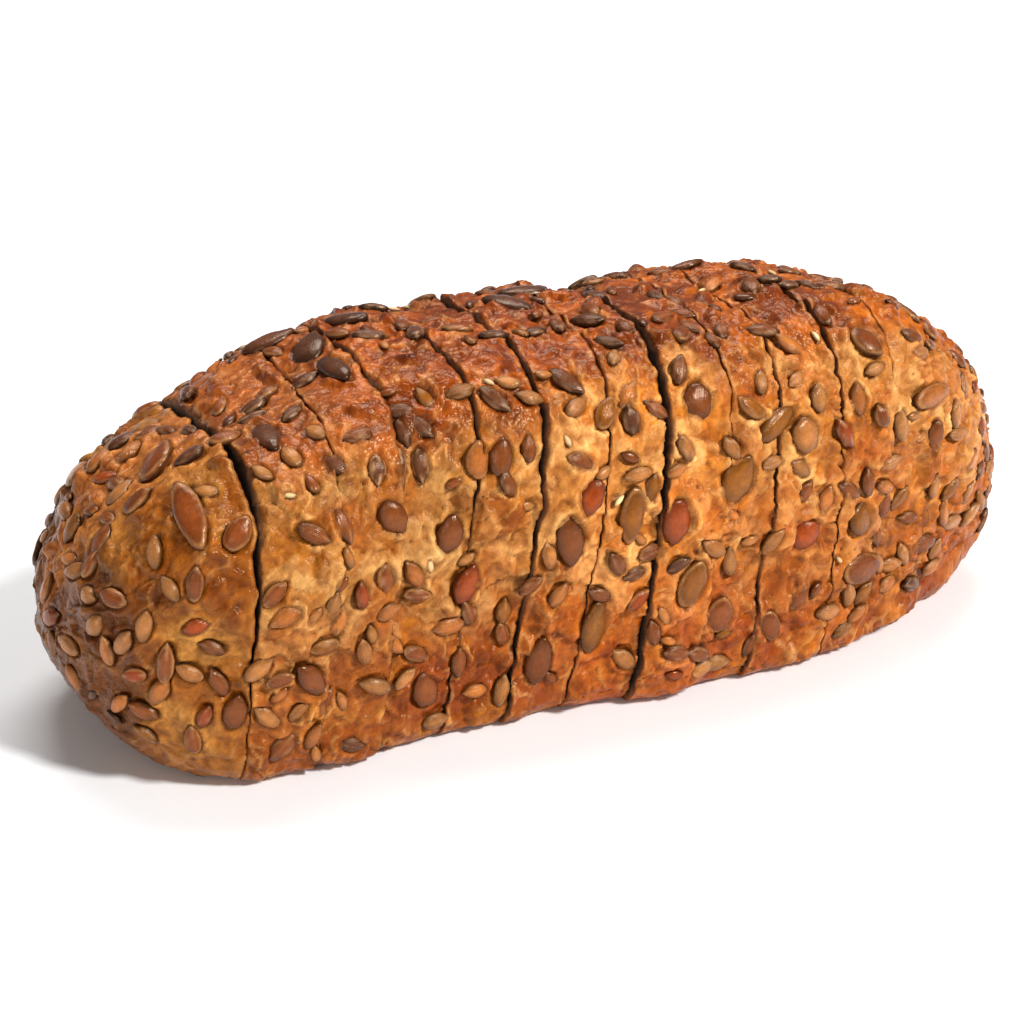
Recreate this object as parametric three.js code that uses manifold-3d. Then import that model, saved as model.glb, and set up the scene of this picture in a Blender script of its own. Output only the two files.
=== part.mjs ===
// Pumpkin seed bread: an oblong loaf covered in seeds and cut into slices that still stand together.
// Millimetres. X runs along the loaf, Y across it, Z up; the origin is on the floor under the middle.
import * as THREE from "three";
import { mergeVertices } from "three/addons/utils/BufferGeometryUtils.js";
import Module from "manifold-3d";

// The whole loaf, before it is cut. Its cross-section is a rounded box about a line at coreHeight,
// with its underside cut flat on the floor.
const loaf = {
  halfLength: 124,
  halfWidth: 43.3,
  coreHeight: 28.2,
  rise: 55.2,
  drop: 42.2,
  topSquareness: 3.4,
  bottomSquareness: 5.7,
  baseRounding: 5,
};
// How square the two ends are, seen from above, from the side, and along the underside.
const leftEnd = { width: 7.5, top: 2.5, base: 3.8 };
const rightEnd = { width: 2.65, top: 4.2, base: 4 };
// Slow swellings of the crust: height in mm, turns per mm of length, turns per turn round, start.
const swellings = [
  { height: 0.9, along: 0.0105, around: 2, start: 0.1 },
  { height: 0.7, along: 0.0172, around: 3, start: 0.35 },
  { height: 0.5, along: 0.0291, around: -4, start: 0.65 },
  { height: 0.35, along: 0.0473, around: 6, start: 0.2 },
];

// The knife cuts, left to right. x is at cutHeight on the middle plane, the knife leans towards +X
// as it rises, and the gap has its own width at the top and at the floor.
const cutHeight = 45;
const cuts = [
  { x: -89, lean: 6.9, yaw: -1.7, gapTop: 2.6, gapFloor: 0.9 },
  { x: -70, lean: 8.9, yaw: 0.7, gapTop: 0.6, gapFloor: 0.45 },
  { x: -58, lean: 9.8, yaw: -3.6, gapTop: 1.3, gapFloor: 0.45 },
  { x: -39.5, lean: 9.3, yaw: -2.2, gapTop: 1.5, gapFloor: 0.45 },
  { x: -23.5, lean: 9.5, yaw: -1.1, gapTop: 1.6, gapFloor: 1.1 },
  { x: -5.5, lean: 10.4, yaw: 2.7, gapTop: 0.6, gapFloor: 0.7 },
  { x: 9, lean: 8.7, yaw: 2.1, gapTop: 2, gapFloor: 1.1 },
  { x: 25, lean: 10, yaw: 2.6, gapTop: 1.1, gapFloor: 0.6 },
  { x: 38, lean: 7.8, yaw: 1.1, gapTop: 0.5, gapFloor: 0.45 },
  { x: 55, lean: 5.4, yaw: -1.7, gapTop: 1.3, gapFloor: 0.45 },
  { x: 71, lean: 6.9, yaw: 0.1, gapTop: 0.9, gapFloor: 0.45 },
  { x: 89, lean: 10.2, yaw: -0.3, gapTop: 0.8, gapFloor: 0.6 },
];
// How far each piece was nudged across, left to right.
const nudges = [-2.1, -2.5, -0.8, 2.6, 1.8, 0.4, -0.1, -2.1, -1.2, -2.4, -2.9, -1.7, -0.9];

// Seeds: their usual length, width and thickness, how far the middle stands above the crust, how much
// narrower the pointed end is, the space kept round one, and the facets of its solid.
const kinds = {
  pumpkin: { size: [11, 6.8, 3], lift: 0.1, taper: 0.42, space: 8.2, sides: 6 },
  sunflower: { size: [7.8, 4.1, 2.8], lift: 0.1, taper: 0.5, space: 5.4, sides: 5 },
};
// Seeds that show plainly: x in mm, angle round the crust, turn on it, then length and width in mm.
const plainPumpkin = [
  [-98, 48, -85, 17.5, 6.5], [-98, 80, 45, 12, 7.5], [-94, -12, 75, 8.5, 5.5], [-90, 40, 45, 8.5, 5.5],
  [-78, -3, 125, 9, 5.5], [-77, 67, -90, 13, 6], [-62, 112, -10, 13, 6.5], [-57, 98, 55, 11, 8],
  [-56, 36, -60, 8.5, 6], [-56, 82, -80, 13, 5.5], [-50, -17, 95, 8.5, 6.5], [-42, 28, 70, 9, 6],
  [-39, 13, 65, 9.5, 6], [-35, 43, 80, 8.5, 5.5], [-30, 43, 75, 8.5, 5.5], [-22, -16, 80, 12, 6],
  [-15, 21, -90, 12.5, 6.5], [-10, 31, -120, 8.5, 5.5], [-9, -7, 80, 13.5, 7], [-7, 97, -55, 13, 7],
  [0, 25, -100, 13.5, 6], [11, 22, -100, 11, 7.5], [15, 2, 65, 12, 7], [19, 50, 75, 8.5, 7.5],
  [23, -11, 75, 9.5, 7], [27, 30, 60, 12, 8], [37, -19, -75, 8.5, 5.5], [39, 42, 35, 12.5, 5.5],
  [46, 10, 40, 8.5, 6.5], [46, 39, 95, 8.5, 8], [62, 11, 90, 8.5, 8], [64, -9, -5, 14, 7.5],
  [68, 59, -55, 9.5, 7], [86, 45, 15, 14, 5.5],
];
const plainSunflower = [
  [-118, 22, 35, 6, 4.5], [-118, 37, -35, 6.5, 4], [-114, 14, 40, 7.5, 4], [-107, 6, 80, 9.5, 4],
  [-100, 30, 70, 8, 4], [-100, 112, 0, 8, 4.5], [-94, 112, -20, 7, 4.5], [-75, 36, -35, 8, 4],
  [-68, 36, -75, 9, 4], [-60, 56, -175, 7, 4], [-58, 47, -100, 7, 4], [-52, 46, -100, 8, 4],
  [-47, 45, -95, 8, 4], [-49, 53, -90, 7, 4], [-45, 53, -60, 7, 4], [-59, 21, -90, 7, 4.5],
  [-44, 89, -20, 8.5, 4], [-28, 55, -55, 8.5, 4], [-23, 44, 85, 7, 3.5], [-29, 37, -65, 7, 4],
  [-20, 18, 100, 7, 3.5], [-10, 58, -55, 9.5, 4.5], [2, 47, 90, 7, 4.5], [2, 35, -175, 7, 3.5],
  [51, 47, 95, 7, 5], [68, 41, 110, 6, 4], [87, 33, -95, 9, 4.5], [97, -8, -10, 9, 4.5],
];
// The rest are scattered, between these angles round the crust and above this height.
const scattered = {
  pumpkin: { count: 22, from: 100, to: 202 },
  sunflower: { count: 124, from: -24, to: 204 },
};
const lowestSeed = 5;

// The crust's facets: angles from, to, and steps between, closer where the base edge is.
const ringArcs = [
  [-24, 204, 23],
  [204, 220, 3],
  [220, 320, 4],
  [320, 336, 3],
];
const ringCount = 21;
const deg = Math.PI / 180;

// The same even draws everywhere, from a small linear congruential generator.
function makeRandom(start) {
  let state = start;
  return () => {
    state = (state * 1664525 + 1013904223) % 4294967296;
    return state / 4294967296;
  };
}

// How much of the full section is left at x, for one of width, top or base.
function fullness(x, which) {
  const end = x < 0 ? leftEnd : rightEnd;
  const share = Math.min(Math.abs(x) / loaf.halfLength, 1);
  return Math.sqrt(1 - share ** end[which]);
}

function swelling(x, angle) {
  let sum = 0;
  for (const s of swellings) {
    sum += s.height * Math.sin(2 * Math.PI * (s.along * x + s.start) + s.around * angle);
  }
  return sum;
}

// The crust at x and at an angle round the core line: 0 faces -Y, 90 degrees faces up. It is boxier
// in the middle of the loaf than at its ends, and it closes under the floor.
function crust(x, angle) {
  const cos = Math.cos(angle);
  const sin = Math.sin(angle);
  const full = fullness(x, "width");
  const width = Math.max(loaf.halfWidth * full, 1e-4);
  const tall = sin >= 0 ? loaf.rise * fullness(x, "top") : loaf.drop * fullness(x, "base");
  const height = Math.max(tall, 1e-4);
  const squarest = sin >= 0 ? loaf.topSquareness : loaf.bottomSquareness;
  const square = 2 + (squarest - 2) * full;
  const plain = (Math.abs(cos / width) ** square + Math.abs(sin / height) ** square) ** (-1 / square);
  const radius = plain + swelling(x, angle) * Math.min(plain / loaf.coreHeight, 1);
  const z = loaf.coreHeight + radius * sin;
  const under = THREE.MathUtils.clamp(loaf.baseRounding - z, 0, loaf.baseRounding);
  const inset = loaf.baseRounding - Math.sqrt(loaf.baseRounding ** 2 - under ** 2);
  return new THREE.Vector3(x, -radius * cos * (1 - inset / loaf.halfWidth), z);
}

// A place on the crust: its point, its outward normal, and the direction along the loaf.
function placeOn(x, angle) {
  const step = 0.5;
  const turn = step / loaf.halfWidth;
  const along = crust(x + step, angle).sub(crust(x - step, angle));
  const around = crust(x, angle + turn).sub(crust(x, angle - turn));
  const normal = new THREE.Vector3().crossVectors(along, around);
  const area = normal.length();
  return { point: crust(x, angle), normal: normal.normalize(), along: along.normalize(), area };
}

function plainSeed(kind, [x, angle, turn, length, width]) {
  const size = [length, width, kinds[kind].size[2]];
  return { ...placeOn(x, deg * angle), kind, turn: deg * turn, size };
}

// Spreads seeds of one kind evenly by area, each clear of those already placed.
function scatter(kind, random, placed) {
  const { count, from, to } = scattered[kind];
  const mostArea = 1.6;
  const spread = 0.985;
  let wanted = count;
  let left = count * 80;
  while (wanted > 0 && left > 0) {
    left -= 1;
    const along = (random() - 0.5) * spread * Math.PI;
    const x = loaf.halfLength * Math.sin(along);
    const angle = deg * (from + (to - from) * random());
    const chance = random();
    const turn = deg * (90 + 150 * (random() + random() - 1));
    const grown = 0.86 + 0.28 * random();
    const place = placeOn(x, angle);
    if (chance * mostArea > place.area * Math.cos(along) || place.point.z < lowestSeed) continue;
    const reach = (seed) => (kinds[kind].space + kinds[seed.kind].space) / 2;
    if (placed.some((seed) => seed.point.distanceTo(place.point) < reach(seed))) continue;
    placed.push({ ...place, kind, turn, size: kinds[kind].size.map((s) => s * grown) });
    wanted -= 1;
  }
}

function solid(wasm, geometry) {
  const bare = geometry.clone();
  bare.deleteAttribute("normal");
  bare.deleteAttribute("uv");
  const merged = mergeVertices(bare, 1e-4);
  return new wasm.Manifold(
    new wasm.Mesh({
      numProp: 3,
      vertProperties: new Float32Array(merged.attributes.position.array),
      triVerts: new Uint32Array(merged.index.array),
    }),
  );
}

function geometryOf(body) {
  const mesh = body.getMesh();
  const points = new THREE.Float32BufferAttribute(mesh.vertProperties, mesh.numProp);
  const geometry = new THREE.BufferGeometry().setAttribute("position", points);
  return geometry.setIndex(new THREE.Uint32BufferAttribute(mesh.triVerts, 1));
}

// The uncut loaf: rings of points on the crust, closer together towards the two end points.
function loafGeometry() {
  const angles = ringArcs.flatMap(([from, to, steps]) =>
    Array.from({ length: steps }, (_, i) => deg * (from + ((to - from) * i) / steps)),
  );
  const sides = angles.length;
  const points = [new THREE.Vector3(-loaf.halfLength, 0, loaf.coreHeight)];
  for (let ring = 1; ring <= ringCount; ring += 1) {
    const x = -loaf.halfLength * Math.cos((Math.PI * ring) / (ringCount + 1));
    points.push(...angles.map((angle) => crust(x, angle)));
  }
  points.push(new THREE.Vector3(loaf.halfLength, 0, loaf.coreHeight));
  const faces = [];
  const at = (ring, side) => 1 + ring * sides + (side % sides);
  for (let side = 0; side < sides; side += 1) {
    faces.push(0, at(0, side), at(0, side + 1));
    for (let ring = 0; ring < ringCount - 1; ring += 1) {
      faces.push(at(ring, side), at(ring + 1, side), at(ring, side + 1));
      faces.push(at(ring, side + 1), at(ring + 1, side), at(ring + 1, side + 1));
    }
    faces.push(at(ringCount - 1, side), points.length - 1, at(ringCount - 1, side + 1));
  }
  return new THREE.BufferGeometry().setFromPoints(points).setIndex(faces);
}

// One seed: a low barrel stretched to the seed's size, with one end pointed, lying on its place.
function seedGeometry(seed) {
  const kind = kinds[seed.kind];
  const geometry = new THREE.SphereGeometry(1, kind.sides, 3);
  const ringRadius = Math.sin(Math.PI / 3);
  const [length, width, thickness] = seed.size.map((s) => s / 2);
  const position = geometry.attributes.position;
  for (let i = 0; i < position.count; i += 1) {
    const towardsPoint = position.getX(i) / ringRadius;
    const fromMiddle = -position.getZ(i) / ringRadius;
    const narrowing = 1 - kind.taper * Math.max(towardsPoint, 0) ** 2;
    const height = position.getY(i) * thickness;
    position.setXYZ(i, towardsPoint * length, fromMiddle * width * narrowing, height);
  }
  const across = new THREE.Vector3().crossVectors(seed.normal, seed.along).normalize();
  const along = new THREE.Vector3().crossVectors(across, seed.normal);
  geometry.rotateZ(seed.turn);
  geometry.applyMatrix4(new THREE.Matrix4().makeBasis(along, across, seed.normal));
  const middle = seed.point.clone().addScaledVector(seed.normal, kind.lift);
  return geometry.translate(middle.x, middle.y, middle.z);
}

// The wedge of air that one knife cut leaves.
function gapGeometry(cut) {
  const reach = { across: 70, below: -5, above: 100 };
  const height = reach.above - reach.below;
  const geometry = new THREE.BoxGeometry(1, 2 * reach.across, height);
  geometry.translate(0, 0, (reach.above + reach.below) / 2);
  const position = geometry.attributes.position;
  const top = loaf.coreHeight + loaf.rise;
  for (let i = 0; i < position.count; i += 1) {
    const y = position.getY(i);
    const z = position.getZ(i);
    const gap = cut.gapFloor + (cut.gapTop - cut.gapFloor) * (z / top);
    const middle = cut.x + Math.tan(cut.lean * deg) * (z - cutHeight) + Math.tan(cut.yaw * deg) * y;
    position.setX(i, middle + 2 * position.getX(i) * (gap / 2));
  }
  return geometry;
}

const wasm = await Module();
wasm.setup();

const seeds = plainPumpkin.map((seed) => plainSeed("pumpkin", seed));
seeds.push(...plainSunflower.map((seed) => plainSeed("sunflower", seed)));
const random = makeRandom(20261201);
scatter("pumpkin", random, seeds);
scatter("sunflower", random, seeds);

let body = solid(wasm, loafGeometry());
for (const seed of seeds) {
  body = body.add(solid(wasm, seedGeometry(seed)));
}
body = body.trimByPlane([0, 0, 1], 0);
for (const cut of cuts) {
  body = body.subtract(solid(wasm, gapGeometry(cut)));
}
// A sliver of a seed that a cut leaves loose is dropped: the pieces of bread are the largest bodies.
const middleOf = (piece) => (piece.boundingBox().min[0] + piece.boundingBox().max[0]) / 2;
const slices = body
  .decompose()
  .sort((a, b) => b.volume() - a.volume())
  .slice(0, cuts.length + 1)
  .sort((a, b) => middleOf(a) - middleOf(b));

const group = new THREE.Group();
slices.forEach((piece, i) => {
  const last = i === slices.length - 1;
  const name = i === 0 ? "heel_left" : last ? "heel_right" : `slice_${String(i).padStart(2, "0")}`;
  const crustMaterial = new THREE.MeshStandardMaterial({ color: 0xb9743a, roughness: 0.55, metalness: 0 });
  const mesh = new THREE.Mesh(geometryOf(piece), crustMaterial);
  mesh.name = name;
  mesh.position.y = nudges[i];
  group.add(mesh);
});

export default group;
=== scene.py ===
"""Looks of the pumpkin seed bread: its baked crust, seeds and knife cuts, with floor, light and camera."""

import math

import bpy
import numpy as np
from mathutils import Matrix, Vector


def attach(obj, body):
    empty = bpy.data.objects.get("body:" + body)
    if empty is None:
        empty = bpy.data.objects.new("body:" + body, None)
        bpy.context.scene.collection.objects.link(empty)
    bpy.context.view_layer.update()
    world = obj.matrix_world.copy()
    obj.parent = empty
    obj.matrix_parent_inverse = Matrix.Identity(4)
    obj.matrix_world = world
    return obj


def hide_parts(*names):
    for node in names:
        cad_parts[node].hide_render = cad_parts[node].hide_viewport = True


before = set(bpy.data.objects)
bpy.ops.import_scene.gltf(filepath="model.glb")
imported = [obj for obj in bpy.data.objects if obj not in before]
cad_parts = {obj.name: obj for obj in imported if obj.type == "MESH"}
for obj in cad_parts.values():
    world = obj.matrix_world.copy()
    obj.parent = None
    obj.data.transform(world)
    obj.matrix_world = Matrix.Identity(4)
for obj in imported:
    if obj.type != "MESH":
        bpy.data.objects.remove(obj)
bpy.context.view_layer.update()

# Lengths are in millimetres until a mesh is made. The loaf's form, cuts and large seeds are those of
# its solids: a rounded box about a line at CORE, cut flat on the floor.
MM = 0.001
HALF_LENGTH = 124.0
HALF_WIDTH = 43.3
CORE = 28.2
RISE = 55.2
DROP = 42.2
TOP_SQUARE = 3.4
BOTTOM_SQUARE = 5.7
BASE_ROUND = 5.0
LEFT_END = {"width": 7.5, "top": 2.5, "base": 3.8}
RIGHT_END = {"width": 2.65, "top": 4.2, "base": 4.0}
# height, turns per mm along, turns round, start
SWELLINGS = [
    (0.9, 0.0105, 2, 0.1),
    (0.7, 0.0172, 3, 0.35),
    (0.5, 0.0291, -4, 0.65),
    (0.35, 0.0473, 6, 0.2),
]
CUT_HEIGHT = 45.0
# x, lean, yaw, gap at the top, gap at the floor
CUTS = [
    (-89, 6.9, -1.7, 2.6, 0.9),
    (-70, 8.9, 0.7, 0.6, 0.45),
    (-58, 9.8, -3.6, 1.3, 0.45),
    (-39.5, 9.3, -2.2, 1.5, 0.45),
    (-23.5, 9.5, -1.1, 1.6, 1.1),
    (-5.5, 10.4, 2.7, 0.6, 0.7),
    (9, 8.7, 2.1, 2, 1.1),
    (25, 10, 2.6, 1.1, 0.6),
    (38, 7.8, 1.1, 0.5, 0.45),
    (55, 5.4, -1.7, 1.3, 0.45),
    (71, 6.9, 0.1, 0.9, 0.45),
    (89, 10.2, -0.3, 0.8, 0.6),
]
# Cuts right of RIGHT_CUTS_FROM, and those narrower at the floor than NARROW_CUT, close to a hairline.
RIGHT_CUTS_FROM = 20
NARROW_CUT = 0.5
HAIRLINE = 0.08
# How far each piece stands back from the middle line, left to right.
NUDGES = [-2.1, -2.5, -0.8, 2.6, 1.8, 0.4, -0.1, -2.1, -1.2, -2.4, -2.9, -1.7, -0.9]
NODES = ["heel_left"] + ["slice_%02d" % i for i in range(1, 12)] + ["heel_right"]

# Seeds: usual length, width and thickness, how far the middle stands above the crust, how much
# narrower the pointed end is, and the space kept round one.
KINDS = {
    "pumpkin": {"size": (11, 6.8, 3.0), "lift": 0.1, "taper": 0.42, "space": 8.2},
    "sunflower": {"size": (7.8, 4.1, 2.8), "lift": 0.1, "taper": 0.5, "space": 5.4},
    "flax": {"size": (4.6, 2.5, 1.7), "lift": 0.1, "taper": 0.45, "space": 3.2},
    "sesame": {"size": (3.2, 1.5, 1.1), "lift": 0.25, "taper": 0.35, "space": 2.4},
}
# x, angle round the crust, turn on it, length, width, tone
PLAIN_PUMPKIN = [
    (-98, 48, -85, 17.5, 6.5, "brown"), (-98, 80, 45, 12, 7.5, "brown"), (-94, -12, 75, 8.5, 5.5, "brown"),
    (-90, 40, 45, 8.5, 5.5, "brown"), (-78, -3, 125, 9, 5.5, "brown"), (-77, 67, -90, 13, 6, "dark"),
    (-62, 112, -10, 13, 6.5, "dark"), (-57, 98, 55, 11, 8, "dark"), (-56, 36, -60, 8.5, 6, "brown"),
    (-56, 82, -80, 13, 5.5, "dark"), (-50, -17, 95, 8.5, 6.5, "brown"), (-42, 28, 70, 9, 6, "brown"),
    (-39, 13, 65, 9.5, 6, "red"), (-35, 43, 80, 8.5, 5.5, "gold"), (-30, 43, 75, 8.5, 5.5, "brown"),
    (-22, -16, 80, 12, 6, "brown"), (-15, 21, -90, 12.5, 6.5, "brown"), (-10, 31, -120, 8.5, 5.5, "red"),
    (-9, -7, 80, 13.5, 7, "olive"), (-7, 97, -55, 13, 7, "dark"), (0, 25, -100, 13.5, 6, "olive"),
    (11, 22, -100, 11, 7.5, "red"), (15, 2, 65, 12, 7, "olive"), (19, 50, 75, 8.5, 7.5, "brown"),
    (23, -11, 75, 9.5, 7, "brown"), (27, 30, 60, 12, 8, "olive"), (37, -19, -75, 8.5, 5.5, "brown"),
    (39, 42, 35, 12.5, 5.5, "olive"), (46, 10, 40, 8.5, 6.5, "red"), (46, 39, 95, 8.5, 8, "tan"),
    (62, 11, 90, 8.5, 8, "olive"), (64, -9, -5, 14, 7.5, "brown"), (68, 59, -55, 9.5, 7, "brown"),
    (86, 45, 15, 14, 5.5, "gold"),
]
PLAIN_SUNFLOWER = [
    (-118, 22, 35, 6, 4.5, "tan"), (-118, 37, -35, 6.5, 4, "tan"), (-114, 14, 40, 7.5, 4, "tan"),
    (-107, 6, 80, 9.5, 4, "brown"), (-100, 30, 70, 8, 4, "brown"), (-100, 112, 0, 8, 4.5, "dark"),
    (-94, 112, -20, 7, 4.5, "tan"), (-75, 36, -35, 8, 4, "brown"), (-68, 36, -75, 9, 4, "brown"),
    (-60, 56, -175, 7, 4, "brown"), (-58, 47, -100, 7, 4, "striped"), (-52, 46, -100, 8, 4, "striped"),
    (-47, 45, -95, 8, 4, "striped"), (-49, 53, -90, 7, 4, "dark"), (-45, 53, -60, 7, 4, "dark"),
    (-59, 21, -90, 7, 4.5, "brown"), (-44, 89, -20, 8.5, 4, "dark"), (-28, 55, -55, 8.5, 4, "dark"),
    (-23, 44, 85, 7, 3.5, "brown"), (-29, 37, -65, 7, 4, "brown"), (-20, 18, 100, 7, 3.5, "tan"),
    (-10, 58, -55, 9.5, 4.5, "dark"), (2, 47, 90, 7, 4.5, "dark"), (2, 35, -175, 7, 3.5, "tan"),
    (51, 47, 95, 7, 5, "tan"), (68, 41, 110, 6, 4, "brown"), (87, 33, -95, 9, 4.5, "brown"),
    (97, -8, -10, 9, 4.5, "tan"),
]
# count, and the angles between which they lie
SCATTERED = {"pumpkin": (22, 100, 202), "sunflower": (124, -24, 204)}
LOWEST_SEED = 5.0
SEED_DRAWS = 20261201
# Only in the looks: smaller sunflower seeds, flax, sesame, and seeds quite covered by the crust.
# kind, count, share of the usual size, and the angles between which they lie
SMALL_SCATTERED = [
    ("sunflower", 170, 0.85, -28, 208),
    ("flax", 90, 1.0, -28, 208),
    ("sesame", 36, 1.0, -28, 208),
    ("sunflower", 46, 0.9, -28, 22),
]
COVERED_COUNT = 240
COVERED_SPACE = 2.6
# How tightly the small seeds may lie, as a share of the usual space.
CROWDING = 0.8

# Steps of the crust's mesh where it shows and under the base, and how far in the rings of a cut face lie.
FINE = 0.55
COARSE = 4.0
CAP_INSETS = (0.9, 2.6, 7.0, 16.0)
# Depth of the crumb faces inside their cuts, so that neighbours stay apart.
RECESS = 0.15
# Steps along a seed and round it.
SEED_GRID = {"pumpkin": (22, 20), "sunflower": (16, 14), "flax": (10, 10), "sesame": (8, 8)}

# Tones as seen, 0 to 255.
TONES = {
    "brown": (112, 53, 14),
    "dark": (84, 42, 20),
    "tan": (158, 98, 46),
    "red": (132, 50, 6),
    "olive": (124, 68, 8),
    "gold": (164, 92, 34),
    "striped": (84, 42, 18),
    "pale": (226, 186, 130),
}


def linear(rgb):
    """The linear colour of one given as seen, 0 to 255."""
    c = np.asarray(rgb, float) / 255
    return np.where(c <= 0.04045, c / 12.92, ((c + 0.055) / 1.055) ** 2.4)


# The crust's colours. The crease colour is painted shade, laid round the seeds and along the open cuts.
TOP_DARK = linear((114, 44, 4))
TOP_LIGHT = linear((160, 72, 10))
# Pale streaks of the top, also laid on as a painted sheen at its far left.
TOP_PALE_AND_SHEEN = linear((190, 116, 58))
TOP_RIGHT = linear((191, 98, 11))
SIDE_TAN = linear((184, 115, 50))
SIDE_GOLD = linear((182, 102, 27))
SIDE_ORANGE = linear((168, 80, 16))
SIDE_PALE = linear((210, 148, 82))
LOW_ORANGE = linear((156, 71, 9))
LOW_RED = linear((136, 47, 5))
HEEL_OLIVE = linear((140, 72, 13))
HEEL_LIGHT = linear((164, 104, 42))
HEEL_TIP = linear((101, 51, 18))
HEEL_TOP = linear((171, 98, 42))
PIT_SHADE = linear((70, 34, 12))
CREASE_SHADE = linear((78, 36, 12))
CRUMB = linear((150, 96, 52))
# Pale stripes on sunflower seeds, and a painted highlight along the rim of some seeds.
STRIPE = linear((206, 152, 104))
RIM_HIGHLIGHT = linear((200, 136, 76))


def smooth(low, high, value):
    """0 at low to 1 at high, with soft ends."""
    t = np.clip((value - low) / (high - low), 0, 1)
    return t * t * (3 - 2 * t)


def unit(v):
    return v / (np.linalg.norm(v, axis=-1, keepdims=True) + 1e-12)


# Noise.


def hashed(ix, iy, iz, salt):
    """Even draws from 0 to 1 for whole-number places."""
    h = (ix * 374761393 + iy * 668265263 + iz * 2147483647 + salt * 974634777) & 0xFFFFFFFF
    h = ((h ^ (h >> 13)) * 1274126177) & 0xFFFFFFFF
    h = ((h ^ (h >> 16)) * 2246822519) & 0xFFFFFFFF
    return ((h ^ (h >> 15)) & 0xFFFFFF) / float(0x1000000)


def noise(points, size, salt=0):
    """Smooth noise, about -1 to 1, with features of that size."""
    p = points / size
    cell = np.floor(p).astype(np.int64)
    f = p - cell
    w = f * f * f * (f * (f * 6 - 15) + 10)
    total = 0
    for dx in (0, 1):
        for dy in (0, 1):
            for dz in (0, 1):
                ix, iy, iz = cell[..., 0] + dx, cell[..., 1] + dy, cell[..., 2] + dz
                turn = hashed(ix, iy, iz, salt) * 2 * np.pi
                up = hashed(ix, iy, iz, salt + 57) * 2 - 1
                flat = np.sqrt(1 - up * up)
                value = (
                    (f[..., 0] - dx) * np.cos(turn) * flat
                    + (f[..., 1] - dy) * np.sin(turn) * flat
                    + (f[..., 2] - dz) * up
                )
                weight = (
                    (w[..., 0] if dx else 1 - w[..., 0])
                    * (w[..., 1] if dy else 1 - w[..., 1])
                    * (w[..., 2] if dz else 1 - w[..., 2])
                )
                total = total + weight * value
    return total * 1.6


def clouds(points, size, octaves, salt=0):
    """Several sizes of noise together, each half as large and half as strong as the last."""
    return sum(noise(points, size / 2**i, salt + 11 * i) / 2**i for i in range(octaves)) / 1.6


def cells(points, size, salt=0):
    """Distances to the nearest two of scattered centres, in cells, and the nearest one's draw."""
    p = points / size
    base = np.floor(p).astype(np.int64)
    first = np.full(p.shape[:-1], 9.0)
    second = np.full(p.shape[:-1], 9.0)
    draw = np.zeros(p.shape[:-1])
    for dx in (-1, 0, 1):
        for dy in (-1, 0, 1):
            for dz in (-1, 0, 1):
                ix, iy, iz = base[..., 0] + dx, base[..., 1] + dy, base[..., 2] + dz
                a = hashed(ix, iy, iz, salt)
                b = hashed(ix, iy, iz, salt + 101)
                c = hashed(ix, iy, iz, salt + 202)
                apart = (ix + a - p[..., 0], iy + b - p[..., 1], iz + c - p[..., 2])
                d = np.sqrt(apart[0] ** 2 + apart[1] ** 2 + apart[2] ** 2)
                nearer = d < first
                second = np.where(nearer, first, np.minimum(second, d))
                draw = np.where(nearer, a, draw)
                first = np.where(nearer, d, first)
    return first, second, draw


# The loaf's form.


def fullness(x, which):
    """How full the loaf is at x, from 1 in the middle to 0 at its ends."""
    share = np.minimum(np.abs(x) / HALF_LENGTH, 1)
    power = np.where(x < 0, LEFT_END[which], RIGHT_END[which])
    return np.sqrt(np.maximum(1 - share**power, 0))


def crust(x, angle):
    """The crust's points at x and at an angle round the core line: 0 faces -Y, 90 degrees faces up."""
    x, angle = np.broadcast_arrays(np.asarray(x, float), np.asarray(angle, float))
    cos, sin = np.cos(angle), np.sin(angle)
    full = fullness(x, "width")
    width = np.maximum(HALF_WIDTH * full, 1e-4)
    height = np.maximum(np.where(sin >= 0, RISE * fullness(x, "top"), DROP * fullness(x, "base")), 1e-4)
    square = 2 + (np.where(sin >= 0, TOP_SQUARE, BOTTOM_SQUARE) - 2) * full
    plain = ((np.abs(cos) / width) ** square + (np.abs(sin) / height) ** square) ** (-1 / square)
    swell = sum(h * np.sin(2 * np.pi * (a * x + s) + r * angle) for h, a, r, s in SWELLINGS)
    radius = plain + swell * np.minimum(plain / CORE, 1)
    z = CORE + radius * sin
    under = np.clip(BASE_ROUND - z, 0, BASE_ROUND)
    inset = BASE_ROUND - np.sqrt(BASE_ROUND**2 - under**2)
    return np.stack([x, -radius * cos * (1 - inset / HALF_WIDTH), z], -1)


def place_on(x, angle):
    """Points on the crust, their outward normals, directions along the loaf, and areas."""
    step = 0.5
    turn = step / HALF_WIDTH
    along = crust(x + step, angle) - crust(x - step, angle)
    around = crust(x, angle + turn) - crust(x, angle - turn)
    normal = np.cross(along, around)
    return crust(x, angle), unit(normal), unit(along), np.linalg.norm(normal, axis=-1)


def cut_plane(cut, y, z):
    """x of a knife cut at y and z."""
    x, lean, yaw = cut[:3]
    return x + math.tan(math.radians(lean)) * (z - CUT_HEIGHT) + math.tan(math.radians(yaw)) * y


def cut_gap(cut, z):
    """
    How wide a cut stands open, narrower than in the solids. The narrow cuts and those on the right close to a
    hairline below the loaf's shoulder, and the left heel's cut opens evenly from the floor up.
    """
    x, _, _, at_top, at_floor = cut
    gap = (at_floor + (at_top - at_floor) * z / (CORE + RISE)) * (0.32 + 0.4 * smooth(45, 80, z))
    if x > RIGHT_CUTS_FROM:
        gap = HAIRLINE + (gap - HAIRLINE) * smooth(36, 60, z)
    if at_floor < NARROW_CUT:
        gap = HAIRLINE + (gap - HAIRLINE) * smooth(50, 68, z)
    if cut is CUTS[0]:
        gap = 0.1 + 2.4 * smooth(14, 92, z)
    return gap


def slice_of(points):
    """Which piece of the loaf each point belongs to."""
    return sum((points[..., 0] > cut_plane(c, points[..., 1], points[..., 2])).astype(int) for c in CUTS)


# Where the seeds lie.


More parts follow.
